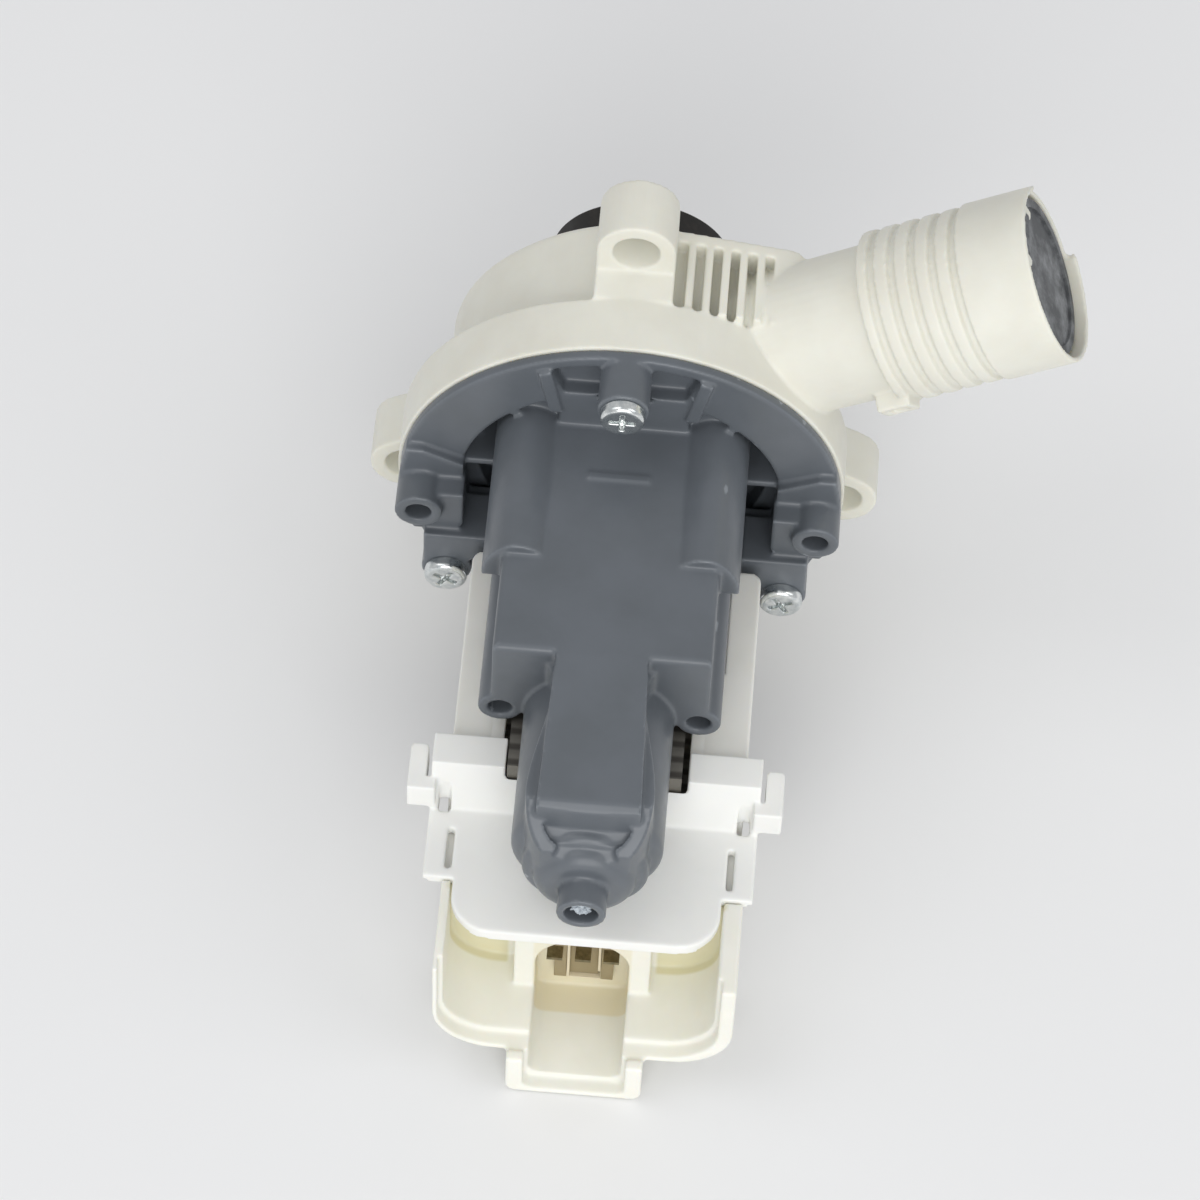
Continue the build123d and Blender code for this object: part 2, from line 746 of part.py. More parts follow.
def crown():
    """Raised crown and the two fences that run along the canister to its rear cap."""
    front, back = behind(hood_len - hood_wall), behind(crown_back)
    sides = Polyline((crown_end_half, back), (crown_half, front), (-crown_half, front),
                     (-crown_end_half, back))
    end = ThreePointArc((-crown_end_half, back), (0, back - crown_bulge), (crown_end_half, back))
    plan = make_face(sides + end)
    top = side_slab([(front, 0), (front, hood_top), (behind(hood_len), hood_top),
                     (behind(crown_back - crown_round), hood_top - crown_drop),
                     (behind(crown_back + crown_bulge), hood_top - crown_drop - crown_round),
                     (behind(crown_back + crown_bulge), 0)], -crown_end_half, crown_end_half)
    body = plan_slab(plan, 0, hood_top) & top
    body += mirrored(fence(front))
    return body + brick((-neck_half, neck_half), (behind(neck_back), behind(crown_back - overrun)),
                        (0, neck_top))


def motor_housing():
    """The grey moulding: flange, plug, hood, canister and tail."""
    body = flange_and_plug()
    body += mirrored(side_group())
    body += mirrored(top_rib())
    body -= top_pockets()
    body += round_bar(screw_boss_r, behind(screw_boss_len), ahead(flange_edge_t), 0, screw_circle_r)
    body += hood()
    can = round_bar(can_r, behind(can_len), ahead(plug_depth))
    can = fillet(can.edges().group_by(Axis.Y)[0], can_round)
    body += can
    step = round_bar(end_step_r, behind(can_len + end_step_len), behind(can_len - can_round))
    body += fillet(step.edges().group_by(Axis.Y)[0], can_round / 2)
    body += crown()
    cap = round_bar(cap_r, behind(can_end), behind(can_len - can_round))
    body += fillet(cap.edges().group_by(Axis.Y)[0], cap_round)
    body += round_bar(tail_r, behind(can_end + tail_len), behind(can_end))
    # bores
    body -= round_bar(can_bore_r, behind(can_len - can_round), ahead(plug_depth) + overrun)
    body -= round_bar(bearing_r + grommet_wall + slip_gap,
                      behind(can_len - can_round + rear_bearing_len), behind(0))
    body -= round_bar(tail_bore_r, behind(can_end + tail_len + overrun),
                      behind(can_end + tail_len - tail_bore_depth))
    for angle in screw_angles:
        x, z = on_circle(screw_circle_r, angle)
        body -= round_bar(pilot_hole_r, behind(screw_boss_len + overrun), ahead(web_t) + overrun, x, z)
    for x in (-side_boss_x, side_boss_x):
        body -= round_bar(side_hole_r, behind(side_boss_len + overrun), ahead(0), x, 0)
    for x in (-column_x, column_x):
        body -= round_bar(column_hole_r, behind(hood_len + overrun),
                          behind(hood_len - column_hole_depth), x, 0)
    body -= tube(plug_r + overrun, plug_r - ring_groove_depth, ahead(ring_station) - ring_wire_r,
                 ahead(ring_station) + ring_wire_r)
    return body


def flange_screw(angle):
    """Pan-head screw in one of the flange's bosses."""
    x, z = on_circle(screw_circle_r, angle)
    head = round_bar(head_r, behind(screw_boss_len + head_t), behind(screw_boss_len), x, z)
    head = fillet(head.edges().group_by(Axis.Y)[0], head_round)
    head += round_bar(shank_r, behind(screw_boss_len), ahead(shank_len - screw_boss_len), x, z)
    for turn in (0, 90):
        slot = brick((-recess_half, recess_half), (behind(screw_boss_len + head_t + overrun),
                     behind(screw_boss_len + head_t - recess_depth)), (-recess_w / 2, recess_w / 2))
        head -= Pos(x, 0, z) * Rot(0, turn + angle, 0) * slot
    return head


def body_seal_ring():
    """Rubber ring in the plug's groove."""
    middle = plug_r - ring_groove_depth + ring_wire_r
    return Pos(0, ahead(ring_station), 0) * Rot(90, 0, 0) * Torus(middle, ring_wire_r - run_gap)


def inlet_seal():
    """Rubber sleeve over the inlet, with a lip that covers its front edge."""
    sleeve = tube(seal_r, inlet_r, ahead(seal_back), ahead(seal_front))
    sleeve += tube(seal_r, inlet_bore_r + seat_gap, ahead(inlet_front), ahead(seal_front))
    groove = tube(seal_r + overrun, seal_r - seal_lip_t / 2, ahead(seal_back + seal_lip_t),
                  ahead(seal_back + 2 * seal_lip_t))
    return sleeve - groove


def outlet_flap():
    """Rubber check flap that swings out of the mouth on its pin."""
    plate = outlet_bar(flap_r, seat_station + seat_gap, seat_station + seat_gap + flap_t)
    rim = outlet_bar(flap_r, seat_station + seat_gap, seat_station + seat_gap + flap_t + flap_rim_t)
    plate += rim - outlet_bar(flap_r - flap_rim_w, seat_station, seat_station + seat_depth)
    for side in (-1, 1):
        near, far = side * knuckle_half, side * flap_r
        plate -= outlet_brick((seat_station, outlet_len), (min(near, far), max(near, far)),
                              (pin_reach - ear_half - seat_gap * 2, flap_r + overrun))
    plate -= outlet_brick((seat_station, outlet_len), (-flap_r, flap_r), (pin_reach, flap_r + overrun))
    plate += flap_pin_bar(knuckle_r, 2 * knuckle_half)
    return plate - flap_pin_bar(pin_r + run_gap, 2 * knuckle_half + overrun)


def bearing_holder():
    """Stepped plug in the canister's front, which carries the front bearing and the shaft seal."""
    front = ahead(plug_depth)
    body = round_bar(can_bore_r - slip_gap, front - holder_len, front)
    body += round_bar(holder_flange_r, front, front + holder_flange_t)
    body -= round_bar(holder_bore_r, front + holder_flange_t - seal_pocket_depth,
                      front + holder_flange_t + overrun)
    body -= round_bar(shaft_r + seat_gap, front - holder_len - overrun, front + holder_flange_t)
    pocket = bearing_r + grommet_wall + slip_gap
    return body - round_bar(pocket, front - holder_len - overrun, front - holder_len + bearing_len)


def sleeve_bearing(back, length):
    """Sintered sleeve bearing on the shaft."""
    return tube(bearing_r, shaft_r + run_gap, back, back + length)


def grommet(back, length):
    """Rubber mount round a sleeve bearing."""
    return tube(bearing_r + grommet_wall, bearing_r, back, back + length)


def shaft_seal():
    """Lip seal in front of the bearing holder's bore."""
    front = ahead(plug_depth) + holder_flange_t
    back = front - seal_pocket_depth
    body = tube(shaft_seal_r, shaft_r + seat_gap, back, front)
    dish = tube(shaft_seal_r - seal_lip_t, shaft_r + seat_gap + seal_lip_t / 2, back + seal_lip_t, front)
    return body - dish


def rotor_sleeve():
    """Plastic core between shaft and magnet."""
    back = rear_seat + rear_bearing_len + washer_t + sleeve_play
    return tube(sleeve_r, shaft_r, back, front_seat - washer_t - sleeve_play)


def drive_tooth(start_angle, inner, outer, back, front):
    """One tooth of the lost-motion drive: a slice of a ring about the shaft."""
    ring = tube(outer, inner, back, front)
    reach = 2 * outer
    ends = [on_circle(reach, start_angle), on_circle(reach, start_angle + tooth_angle)]
    wedge = slab(make_face(Polyline((0, 0), *ends, close=True)), back, front)
    return ring & wedge


def drive_dog():
    """Collar on the shaft with one tooth that pushes the impeller round."""
    back = ahead(impeller_back) + impeller_disc_t
    body = tube(dog_r, shaft_r, back, back + dog_len)
    start = drive_turn + tooth_angle / 2 + tooth_clear
    return body + drive_tooth(start, dog_r - overrun / 2, dog_tooth_r, back, back + dog_len)


def blade(angle):
    """One slightly leaning impeller blade."""
    low, high = ahead(impeller_back), ahead(impeller_front)
    start = (hub_r - blade_t, 0)
    end = (impeller_r, -blade_lean)
    bend = ((hub_r + impeller_r) / 2, blade_lean / 4)
    strip = trace(ThreePointArc(start, bend, end), blade_t)
    return Rot(0, -angle, 0) * slab(strip, low, high)


def impeller():
    """Open impeller with a hollow hub that takes the drive dog."""
    back, front = ahead(impeller_back), ahead(impeller_front)
    body = round_bar(impeller_r, back, back + impeller_disc_t)
    body += round_bar(hub_r, back, front)
    for number in range(blade_count):
        body += blade(number * 360 / blade_count)
    body &= round_bar(impeller_r, back, front)
    cavity = round_bar(hub_cavity_r, back + impeller_disc_t - slip_gap, front - hub_front_t)
    cavity -= drive_tooth(drive_turn - tooth_angle / 2, dog_r + slip_gap, hub_cavity_r + overrun, back, front)
    body -= cavity
    x, z = on_circle(balance_circle_r, drive_turn + 180)
    body += round_bar(balance_r, back, back + impeller_disc_t + balance_len, x, z)
    return body - round_bar(shaft_r + run_gap, back - overrun, front + overrun)


def rotor_shaft():
    """Steel shaft from the rear bearing to the impeller."""
    return round_bar(shaft_r, behind(can_len - can_round + rear_bearing_len - washer_t), ahead(shaft_front))


def thrust_washer(back):
    """Flat washer on the shaft."""
    return tube(washer_r, shaft_r + run_gap, back, back + washer_t)


def stator_core():
    """U-shaped pack of steel sheets that straddles the canister from below."""
    half = [(0, -core_foot), (leg_outer, -core_foot), (leg_outer, -leg_top), (horn_half, -leg_top),
            (horn_half, -horn_top), (0, -horn_top)]
    outline = half + [(-x, z) for x, z in reversed(half)]
    core = slab(make_face(Polyline(*outline[1:5], *outline[7:11], close=True)),
                behind(stack_front + stack_len), behind(stack_front))
    back, front = behind(stack_front + stack_len + overrun), behind(stack_front - overrun)
    core -= round_bar(can_r + pole_gap, back, front)
    core -= brick((-leg_inner, leg_inner), (back, front), (yoke_t - core_foot, -shoe_low))
    core -= brick((-shoe_inner, shoe_inner), (back, front), (-shoe_low - overrun, 0))
    return core


def bobbin(side):
    """Plastic former round one leg of the core."""
    middle = side * (leg_inner + leg_outer) / 2
    leg = (leg_outer - leg_inner) / 2 + bobbin_gap
    stack = behind(stack_front + stack_len / 2)
    deep = stack_len / 2 + bobbin_gap

    def block(grow, low, high):
        """Box round the leg, grown by a named amount, between two heights."""
        return brick((middle - leg - grow, middle + leg + grow), (stack - deep - grow, stack + deep + grow),
                     (low, high))

    body = block(bobbin_wall, -bobbin_low, -bobbin_top)
    for low in (-bobbin_low, -bobbin_top - bobbin_flange):
        body += block(bobbin_wall + coil_t, low, low + bobbin_flange)
    return body - block(0, -bobbin_low - overrun, overrun - bobbin_top)


def coil(side):
    """Copper winding on one bobbin."""
    middle = side * (leg_inner + leg_outer) / 2
    half_x = (leg_outer - leg_inner) / 2 + bobbin_gap + bobbin_wall
    half_y = stack_len / 2 + bobbin_gap + bobbin_wall
    grow = coil_t - seat_gap
    low, high = bobbin_flange - bobbin_low, -bobbin_top - bobbin_flange
    spot = Pos(middle, behind(stack_front + stack_len / 2))
    outer = spot * RectangleRounded(2 * (half_x + grow), 2 * (half_y + grow), coil_round)
    inner = spot * Rectangle(2 * half_x, 2 * half_y)
    return plan_slab(outer - inner, low, high)


def coil_cover():
    """Off-white box under the motor: two side arms, a trough for the canister, open at the back."""
    span_x, span_y = (-cover_left, cover_right), (behind(cover_back), behind(cover_front))
    box = brick(span_x, span_y, (-base_z, -cover_top))
    box = fillet(box.edges().filter_by(Axis.Y).group_by(Axis.Z)[0], base_round)
    inner_x = (cover_wall - cover_left, cover_right - cover_wall)
    inside = brick(inner_x, (behind(cover_back + overrun), behind(cover_front) - cover_wall),
                   (cover_wall - base_z, -cover_top - cover_wall))
    trough_shell = brick((-trough_half - cover_wall, trough_half + cover_wall), span_y,
                         (-trough_low - cover_wall, 0))
    box -= inside - trough_shell
    box -= brick((-trough_half, trough_half), (behind(cover_back + overrun), behind(cover_front - overrun)),
                 (-trough_low, overrun))
    # the cover stays under the guard's sheet
    deck_top = -guard_plate_top - guard_t - seat_gap
    lead = guard_ramp_lead + seat_gap
    box -= side_slab([(behind(guard_flat_back - lead), -cover_top), (behind(guard_ramp_back - lead), deck_top),
                      (behind(cover_back + overrun), deck_top), (behind(cover_back + overrun), 0),
                      (behind(guard_flat_back - lead), 0)], -guard_half, guard_half)
    box += brick(inner_x, (behind(cover_back), behind(stack_front + stack_len + seat_gap)),
                 (deck_top - cover_wall, deck_top))
    box -= brick((-stack_window, stack_window),
                 (behind(stack_front + stack_len + seat_gap), behind(stack_front - seat_gap)),
                 (-trough_low - 2 * cover_wall, overrun))
    for low, high in ((-cover_left, arm_w - cover_left), (cover_right - arm_w - overrun, cover_right)):
        arm = brick((low, high), (behind(cover_front), behind(arm_front)), (-cover_top - arm_depth, -cover_top))
        box += fillet(arm.edges().filter_by(Axis.Z).group_by(Axis.Y)[-1], base_round)
    return box


def socket_wide(left, right, floor, corner):
    """Section of the connector housing's wide upper part."""
    face = make_face(Polyline((-left, -socket_top), (-left, -floor), (right, -floor), (right, -socket_top),
                              close=True))
    return fillet(face.vertices().group_by(Axis.Y)[0], corner)


def socket_channel(half, depth):
    """Section of the deeper channel, which reaches up into the wide part."""
    top = socket_floor - socket_corner_r / 2
    return Pos(channel_shift, -(top + depth) / 2) * RectangleRounded(2 * half, depth - top, socket_wall)


def socket_shell():
    """Outside of the socket: wide part and channel, each with its own rear edge."""
    front = behind(cover_back)
    wide = socket_wide(socket_left, socket_right, socket_floor + socket_wall, socket_corner_r + socket_wall)
    channel = socket_channel(channel_half + channel_wall, base_z)
    return slab(wide, behind(wide_back), front) + slab(channel, behind(rim_back), front)


def socket_room(grow, wide_from, channel_from):
    """Space inside the socket up to its rear edges, from two stations behind the flange."""
    wide = socket_wide(inner_left + grow, inner_right + grow, socket_floor + grow, socket_corner_r + grow)
    channel = socket_channel(channel_half + grow, base_z - socket_wall + grow)
    room = slab(wide, behind(wide_back + overrun), behind(wide_from))
    return room + slab(channel, behind(rim_back + overrun), behind(channel_from))


def connector_housing():
    """Ivory shroud round the plug: an end wall, a barrel with an arched mouth and a stepped rim."""
    front = behind(cover_back)
    floor_start = cover_back + end_wall_t
    body = socket_shell() - socket_room(0, floor_start, floor_start)
    body -= socket_room(lead_step, wide_back - lead_len, rim_back - lead_len)
    body -= brick((-inner_left, inner_right), (behind(rim_back + overrun), front - end_wall_t),
                  (-socket_top - overrun, overrun))
    body -= brick((-socket_left, socket_right), (behind(rim_back + overrun), behind(wide_back)),
                  (-socket_floor, overrun))
    # barrel with the arched mouth
    barrel = brick((channel_shift - barrel_half, channel_shift + barrel_half), (behind(barrel_back), front),
                   (-socket_floor - socket_wall / 2, -socket_top - guard_t - seat_gap))
    mouth = Pos(channel_shift, -barrel_arch_top - channel_half) * Circle(channel_half)
    mouth += Pos(channel_shift, -(barrel_arch_top + channel_half + base_z - socket_wall) / 2) * Rectangle(
        2 * channel_half, base_z - socket_wall - barrel_arch_top - channel_half)
    barrel -= slab(mouth, behind(barrel_back + overrun), front - end_wall_t)
    body += barrel
    # the part under the guard stays below its sheet
    body -= brick((-guard_half, guard_half), (behind(guard_side_back + seat_gap), front + overrun),
                  (-guard_plate_top - guard_t - seat_gap, 0))
    for number in range(terminal_count):
        body -= terminal_pin(number, slip_gap)
    return body


def terminal_pin(number, grow=0):
    """One flat terminal that runs through the end wall."""
    x = channel_shift + (number - (terminal_count - 1) / 2) * pin_pitch
    return brick((x - pin_w / 2 - grow, x + pin_w / 2 + grow), (behind(pin_back), behind(pin_inner)),
                 (-pin_depth - pin_t / 2 - grow, -pin_depth + pin_t / 2 + grow))


def guard_side_cut():
    """The part of the guard that the canister passes through."""
    cut = round_bar(can_r + guard_can_gap, behind(can_end), behind(guard_front - overrun))
    cut += brick((-guard_inner, guard_inner), (behind(guard_notch_back), behind(guard_front - overrun)),
                 (-guard_plate_top, overrun))
    return cut


def guard_tab(side):
    """Finger tab beside the guard, joined to it at its rear end."""
    wall = guard_half
    near, far = wall + tab_gap, wall + tab_gap + tab_t
    tab = brick((near, far), (behind(tab_back), behind(tab_front)), (-tab_low, -tab_top))
    tab = fillet(tab.edges().filter_by(Axis.Z).group_by(Axis.Y)[-1], tab_t / 4)
    tab += brick((wall - overrun, far), (behind(tab_back), behind(tab_back - tab_root)), (-tab_low, -tab_top))
    if side < 0:
        tab = mirror(tab, about=Plane.YZ)
    return tab


def terminal_guard():
    """Bright white snap-on guard: flat front pads, a ramp, a rear plate, side walls and finger tabs."""
    half_in = guard_half - guard_wall
    top_line = [(behind(guard_front), -guard_top), (behind(guard_flat_back), -guard_top),
                (behind(guard_ramp_back), -guard_plate_top), (behind(guard_plate_back), -guard_plate_top)]
    under = [(behind(guard_plate_back), -guard_plate_top - guard_t),
             (behind(guard_ramp_back - guard_ramp_lead), -guard_plate_top - guard_t),
             (behind(guard_flat_back - guard_ramp_lead), -guard_top - guard_t),
             (behind(guard_front), -guard_top - guard_t)]
    sheet = side_slab(top_line + under, -half_in - overrun / 2, half_in + overrun / 2)
    side_top = [(behind(guard_front), -guard_top), (behind(guard_flat_back), -guard_top),
                (behind(guard_ramp_back), -guard_plate_top), (behind(guard_side_back), -guard_plate_top),
                (behind(guard_side_back), -guard_side_low + guard_side_chamfer),
                (behind(guard_side_back - guard_side_chamfer), -guard_side_low),
                (behind(guard_front), -guard_side_low)]
    wall = side_slab(side_top, half_in, guard_half)
    body = sheet + mirrored(wall)
    # the rear plate is narrower than the pads and has round corners
    plan = Pos(0, (behind(guard_plate_back) + behind(guard_flat_back)) / 2) * RectangleRounded(
        2 * guard_plate_half, guard_plate_back - guard_flat_back, guard_corner_r)
    near = brick((-guard_half, guard_half), (behind(guard_side_back), behind(guard_front)), (-base_z, 0))
    body = (body & near) + (sheet & plan_slab(plan, -base_z, 0))
    lip = plan_slab(plan, -guard_plate_top - guard_lip, -guard_plate_top)
    lip &= brick((-guard_plate_half, guard_plate_half),
                 (behind(guard_plate_back), behind(guard_plate_back - guard_t / 2)), (-base_z, 0))
    body += lip
    body -= guard_side_cut()
    body += guard_tab(1) + guard_tab(-1)
    for side in (-1, 1):
        window_x = side * (half_in - window_w / 2)
        body -= brick((window_x - window_w / 2, window_x + window_w / 2),
                      (behind(window_back + window_len / 2), behind(window_back - window_len / 2)), (-base_z, 0))
        body -= brick((side * slot_x - slot_w / 2, side * slot_x + slot_w / 2),
                      (behind(slot_front + slot_len), behind(slot_front)), (-base_z, 0))
    return Pos(guard_shift, 0, 0) * body


def thermal_protector():
    """Small cut-out switch on the front of the yoke."""
    low = cover_wall - base_z + seat_gap
    front = behind(stack_front)
    return brick((-protector_w / 2, protector_w / 2), (front, front + protector_len), (low, low + protector_h))


def write(name, shape):
    """Write one named piece."""
    export_step(shape, "parts/" + name + ".step")


rear_seat = behind(can_len - can_round + rear_bearing_len)
front_seat = ahead(plug_depth) - holder_len

write("volute_housing", volute_housing())
write("motor_housing", motor_housing())
write("flange_screws", Compound(children=[flange_screw(angle) for angle in screw_angles]))
write("body_seal_ring", body_seal_ring())
write("inlet_seal", inlet_seal())
write("outlet_flap", outlet_flap())
write("flap_pin", flap_pin_bar(pin_r, pin_len))
write("bearing_holder", bearing_holder())
write("front_bearing", sleeve_bearing(front_seat, bearing_len))
write("front_grommet", grommet(front_seat, bearing_len))
write("rear_bearing", sleeve_bearing(rear_seat, rear_bearing_len))
write("rear_grommet", grommet(rear_seat, rear_bearing_len))
write("shaft_seal", shaft_seal())
write("front_thrust_washer", thrust_washer(front_seat - washer_t))
write("rear_thrust_washer", thrust_washer(rear_seat + rear_bearing_len))
write("rotor_shaft", rotor_shaft())
write("rotor_sleeve", rotor_sleeve())
write("rotor_magnet", tube(magnet_r, sleeve_r, behind(magnet_back), behind(magnet_back - magnet_len)))
write("drive_dog", drive_dog())
write("impeller", impeller())
write("stator_core", stator_core())
for side_name, side_sign in (("left", -1), ("right", 1)):
    write(side_name + "_bobbin", bobbin(side_sign))
    write(side_name + "_coil", coil(side_sign))
write("thermal_protector", thermal_protector())
write("coil_cover", coil_cover())
write("connector_housing", connector_housing())
write("terminal_pins", Compound(children=[terminal_pin(number) for number in range(terminal_count)]))
write("terminal_guard", terminal_guard())
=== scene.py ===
# %% [markdown]
# # Washer drain pump
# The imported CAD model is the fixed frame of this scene. Everything below dresses it: the camera and the
# light come first, then one finish after another, then the rounded mouldings and the few small pieces that
# the CAD model leaves out.

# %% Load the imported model
import json
from math import pi
import bmesh
import bpy
from mathutils import Matrix, Vector
from mathutils import noise as lattice


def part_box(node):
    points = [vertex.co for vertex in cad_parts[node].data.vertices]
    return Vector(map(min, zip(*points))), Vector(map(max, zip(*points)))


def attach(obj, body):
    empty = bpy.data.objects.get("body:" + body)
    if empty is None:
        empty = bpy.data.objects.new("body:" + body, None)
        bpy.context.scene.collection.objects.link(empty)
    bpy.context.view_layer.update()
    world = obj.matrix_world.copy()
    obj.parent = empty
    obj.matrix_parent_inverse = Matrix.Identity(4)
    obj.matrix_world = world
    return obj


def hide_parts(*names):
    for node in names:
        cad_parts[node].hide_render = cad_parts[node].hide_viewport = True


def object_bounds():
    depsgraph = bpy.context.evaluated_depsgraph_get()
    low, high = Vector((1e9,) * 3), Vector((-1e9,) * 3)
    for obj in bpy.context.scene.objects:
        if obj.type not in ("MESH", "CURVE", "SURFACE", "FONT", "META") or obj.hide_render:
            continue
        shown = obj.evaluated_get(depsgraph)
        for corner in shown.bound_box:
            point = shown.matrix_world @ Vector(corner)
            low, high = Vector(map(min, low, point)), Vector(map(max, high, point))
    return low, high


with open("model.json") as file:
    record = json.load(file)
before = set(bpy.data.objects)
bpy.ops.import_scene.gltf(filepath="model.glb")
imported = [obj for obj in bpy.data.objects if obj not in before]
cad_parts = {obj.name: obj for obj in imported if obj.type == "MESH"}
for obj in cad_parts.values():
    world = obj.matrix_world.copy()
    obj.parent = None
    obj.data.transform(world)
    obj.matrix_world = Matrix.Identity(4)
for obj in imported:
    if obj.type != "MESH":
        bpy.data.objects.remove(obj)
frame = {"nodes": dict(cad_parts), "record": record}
cad_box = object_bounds()
nodes = frame["nodes"]
scene = bpy.context.scene
mm = 0.001
print("nodes:", len(nodes), "box:", cad_box)

# %% [markdown]
# ## Camera
# The photograph was taken with a long lens from high above the motor's end, so lines that run away from
# the camera hardly converge. The camera's place was found by fitting the round flange, the canister and
# the three bosses: it stands about a metre from the pump, looks 56 degrees down and is rolled by three
# degrees. A constraint could aim it at a point, but would keep it level. Three plain rotations give its
# turn, its tilt and its roll, and each can be changed alone.

# %% Camera
camera_tilt = 0.98449
camera_roll = 0.05319
camera_turn = -0.0332
camera_distance = 1000 * mm
camera_aim = Vector((3.55327, 19.56933, 55.35879)) * mm
flange_face = Vector((0, -29, 0)) * mm
camera_data = bpy.data.cameras.new("camera")
camera = bpy.data.objects.new("camera", camera_data)
scene.collection.objects.link(camera)
facing = (Matrix.Rotation(-camera_turn, 3, "Z") @ Matrix.Rotation(pi / 2 - camera_tilt, 3, "X")
          @ Matrix.Rotation(camera_roll, 3, "Z"))
place = facing @ (Vector((0, 0, camera_distance)) - camera_aim) + flange_face
camera.matrix_world = Matrix.Translation(place) @ facing.to_4x4()
camera_data.sensor_fit = "HORIZONTAL"
camera_data.sensor_width = 36
camera_data.lens = 158.56
camera_data.clip_start = 0.05
scene.camera = camera
print("camera at", [round(part, 4) for part in place])

# %% [markdown]
# ## Floor
# The pump lies on a plain pale sheet. One large plane does for it, because nothing of the sheet shows but
# its colour and a soft shadow. It lies a hair below the lowest point of the model, so that no two faces
# share a plane, and its pale grey is its own colour, with no more light on it than on the pump.

# %% Floor
floor_colour = (0.86, 0.86, 0.86)
floor_reach = 4.0
floor_gap = 0.2 * mm


def as_object(name, bm, paint):
    """Turns a bmesh into an object with one finish."""
    mesh = bpy.data.meshes.new(name)
    bm.to_mesh(mesh)
    bm.free()
    mesh.materials.append(paint)
    made = bpy.data.objects.new(name, mesh)
    scene.collection.objects.link(made)
    return made


floor_paint = bpy.data.materials.new("pale_sheet")
floor_paint.use_nodes = True
floor_shader = floor_paint.node_tree.nodes["Principled BSDF"]
floor_shader.inputs["Base Color"].default_value = (*floor_colour, 1)
floor_shader.inputs["Roughness"].default_value = 0.7
floor_shader.inputs["Specular IOR Level"].default_value = 0.2
floor_level = cad_box[0][2] - floor_gap
bm = bmesh.new()
bmesh.ops.create_grid(bm, x_segments=1, y_segments=1, size=floor_reach)
bmesh.ops.translate(bm, verts=bm.verts, vec=(0, 0, floor_level))
floor = as_object("floor", bm, floor_paint)
print("floor level:", round(floor_level / mm, 2), "mm")

# %% [markdown]
# ## World and lamps
# In the photograph the shadows are short and faint, as under a large light tent. Small lamps or a sun would
# draw hard ones, so an even world lights every side alike. Two large soft boxes, high on the left and on
# the right, add a little shape, and a stronger one, well behind the camera, brightens the faces that look
# at it. The levels are set so that a colour comes out about as it is written.

# %% World and lamps
world_colour = (0.97, 0.98, 1.0)
world_strength = 0.56
world = bpy.data.worlds.new("studio")
scene.world = world
world.use_nodes = True
background = world.node_tree.nodes["Background"]
background.inputs["Color"].default_value = (*world_colour, 1)
background.inputs["Strength"].default_value = world_strength


def soft_lamp(name, place, aim, size, power):
    """A square soft box at place that points at aim, its side in metres and its power in watts."""
    data = bpy.data.lights.new(name, "AREA")
    data.size = size
    data.energy = power
    lamp = bpy.data.objects.new(name, data)
    scene.collection.objects.link(lamp)
    ray = Vector(aim) - Vector(place)
    lamp.location = place
    lamp.rotation_euler = ray.to_track_quat("-Z", "Y").to_euler()
    print(name, "of", power, "W,", round(ray.length, 2), "m away")


soft_lamp("key_box", (-0.5, -0.15, 0.95), (0, -0.05, 0), 0.7, 1.8)
soft_lamp("fill_box", (0.75, -0.3, 0.8), (0, -0.05, 0), 0.7, 1.6)
soft_lamp("rear_box", (0.1, -1.5, 0.75), (0, -0.06, 0), 1.2, 13.0)
scene.view_settings.view_transform = "Standard"

# %% [markdown]
# ## Colour, noise and relief
# No moulding is quite even in colour or gloss, so every finish below is one Principled shader with noise in
# it. Painted pictures would do as well, but each piece would have to be unwrapped for them. A few helpers
# keep the values plain: a colour is written as it reads on screen, and a pattern in millimetres. All
# patterns use the object's own coordinates, so they stay in place on a piece that moves.

# %% Colour and noise
def srgb(red, green, blue):
    """A colour read from 0 to 255 on screen, as the linear value the shader takes."""
    def linear(value):
        share = value / 255
        return share / 12.92 if share <= 0.04045 else ((share + 0.055) / 1.055) ** 2.4
    return linear(red), linear(green), linear(blue), 1.0


def new_finish(name):
    """An empty material with its tree, its shader and the object's own coordinates."""
    made = bpy.data.materials.new(name)
    made.use_nodes = True
    tree = made.node_tree
    shader = tree.nodes["Principled BSDF"]
    place = tree.nodes.new("ShaderNodeTexCoord")
    return made, tree, shader, place.outputs["Object"]


def noise(tree, place, size_mm, detail=3.0, rough=0.55):
    """Noise whose blobs are about size_mm across."""
    node = tree.nodes.new("ShaderNodeTexNoise")
    node.inputs["Scale"].default_value = 1 / (size_mm * mm)
    node.inputs["Detail"].default_value = detail
    node.inputs["Roughness"].default_value = rough
    tree.links.new(place, node.inputs["Vector"])
    return node.outputs["Fac"]


print("a grey of 128 on screen is", round(srgb(128, 128, 128)[0], 3), "to the shader")

# %% Ramp, range and relief
def ramp(tree, value, low, high, first, last):
    """Maps value from low..high to the colours first..last."""
    node = tree.nodes.new("ShaderNodeValToRGB")
    node.color_ramp.elements[0].position = low
    node.color_ramp.elements[1].position = high
    node.color_ramp.elements[0].color = first
    node.color_ramp.elements[1].color = last
    tree.links.new(value, node.inputs["Fac"])
    return node.outputs["Color"]


def remap(tree, value, low, high, to_low, to_high):
    """Maps a number from low..high to to_low..to_high."""
    node = tree.nodes.new("ShaderNodeMapRange")
    for name, number in zip(("From Min", "From Max", "To Min", "To Max"), (low, high, to_low, to_high)):
        node.inputs[name].default_value = number
    tree.links.new(value, node.inputs["Value"])
    return node.outputs["Result"]


